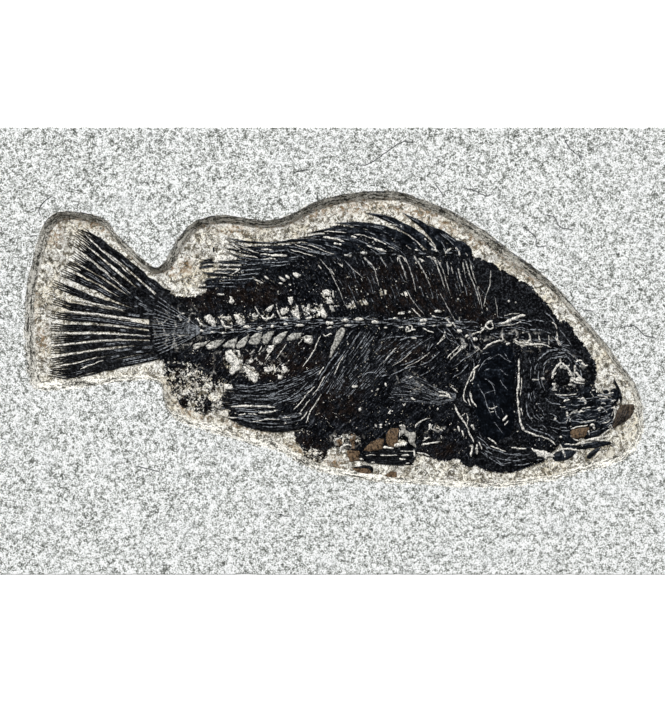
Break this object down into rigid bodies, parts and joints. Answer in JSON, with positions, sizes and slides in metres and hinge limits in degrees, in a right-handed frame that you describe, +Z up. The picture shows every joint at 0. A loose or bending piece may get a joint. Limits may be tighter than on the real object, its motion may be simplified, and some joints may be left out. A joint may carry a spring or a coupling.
{
  "type": "fossil fish slab",
  "caption": "Flat sawn limestone slab with a stepped hollow in its face, in which a deep-bodied black fossil fish lies on its side with its spiny fins spread.",
  "frame": {"origin": "middle of the slab's underside", "axes": "+X along the slab's length towards the fish's head, +Y along its width towards the fish's back, +Z up out of the fossil face"},
  "size_m": [0.304, 0.2016, 0.018],
  "materials": {
    "limestone": "matt white skin with grey flecks, cream and laminated where it is cut into",
    "dark_film": "dark brown to black mineral film with a low sheen and cream matrix showing through",
    "black_bone": "black mineralised bone with a soft blue-grey gloss",
    "brown_flake": "thin brown flake with a dull sheen",
    "grey_bone": "matt pale grey bone"
  },
  "bodies": {
    "root": {"slab": "limestone", "body": "dark_film", "backbone": "black_bone", "tail_fin": "black_bone", "dorsal_fin": "black_bone", "anal_fin": "black_bone", "pelvic_fin": "black_bone", "pectoral_fin": "black_bone", "skull": "black_bone", "eye_ring": "black_bone", "cheek_bone": "black_bone", "gill_cover": "black_bone", "shoulder_bone": "black_bone", "throat_rays": "black_bone", "upper_jaw": "black_bone", "lower_jaw": "black_bone", "snout_flake": "brown_flake", "mouth_flake": "brown_flake", "lens_flake": "brown_flake", "chip_flake": "brown_flake", "square_flake": "brown_flake", "upper_flank_flake": "brown_flake", "lower_flank_flake": "brown_flake", "round_flake": "brown_flake", "ribbon_flake": "brown_flake", "pelvic_bone": "grey_bone"}
  },
  "joints": []
}
